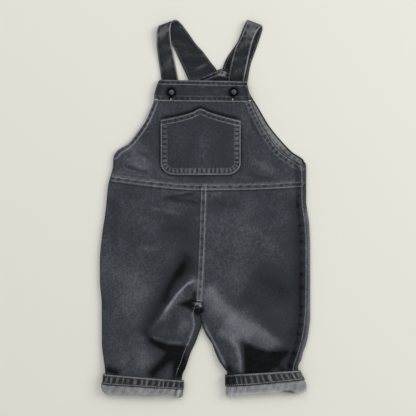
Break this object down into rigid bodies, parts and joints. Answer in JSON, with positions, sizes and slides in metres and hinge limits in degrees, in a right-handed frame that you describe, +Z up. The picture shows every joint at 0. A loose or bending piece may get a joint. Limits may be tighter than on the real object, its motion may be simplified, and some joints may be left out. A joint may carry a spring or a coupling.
{
  "type": "denim overalls laid flat",
  "caption": "Small child's washed denim overalls lying flat on their back, with a patch pocket on the bib, tapered straps, metal buttons and turned-up cuffs.",
  "frame": {"origin": "on the supporting surface, under the centre of the garment's bounding box", "axes": "+Z up off the surface, +Y from the leg ends to the shoulders, +X towards the wearer's left side"},
  "size_m": [0.3306, 0.5937, 0.0156],
  "materials": {
    "denim": "washed grey-blue twill, worn pale on seams and fold crests",
    "strap_denim": "washed grey-blue twill, double layer",
    "denim_wrong_side": "pale wrong side of the twill",
    "gunmetal": "dark gunmetal plating, satin"
  },
  "bodies": {
    "root": {"front_leg_left": "denim", "front_leg_right": "denim", "back_leg_left": "denim", "back_leg_right": "denim", "front_bib": "denim", "bib_band": "denim", "bib_pocket": "denim", "back_bib": "denim", "back_facing": "denim_wrong_side", "strap_left": "strap_denim", "strap_right": "strap_denim", "cuff_left": "denim_wrong_side", "cuff_right": "denim_wrong_side", "cuff_hem_left": "denim", "cuff_hem_right": "denim", "button_left": "gunmetal", "button_right": "gunmetal"}
  },
  "joints": []
}
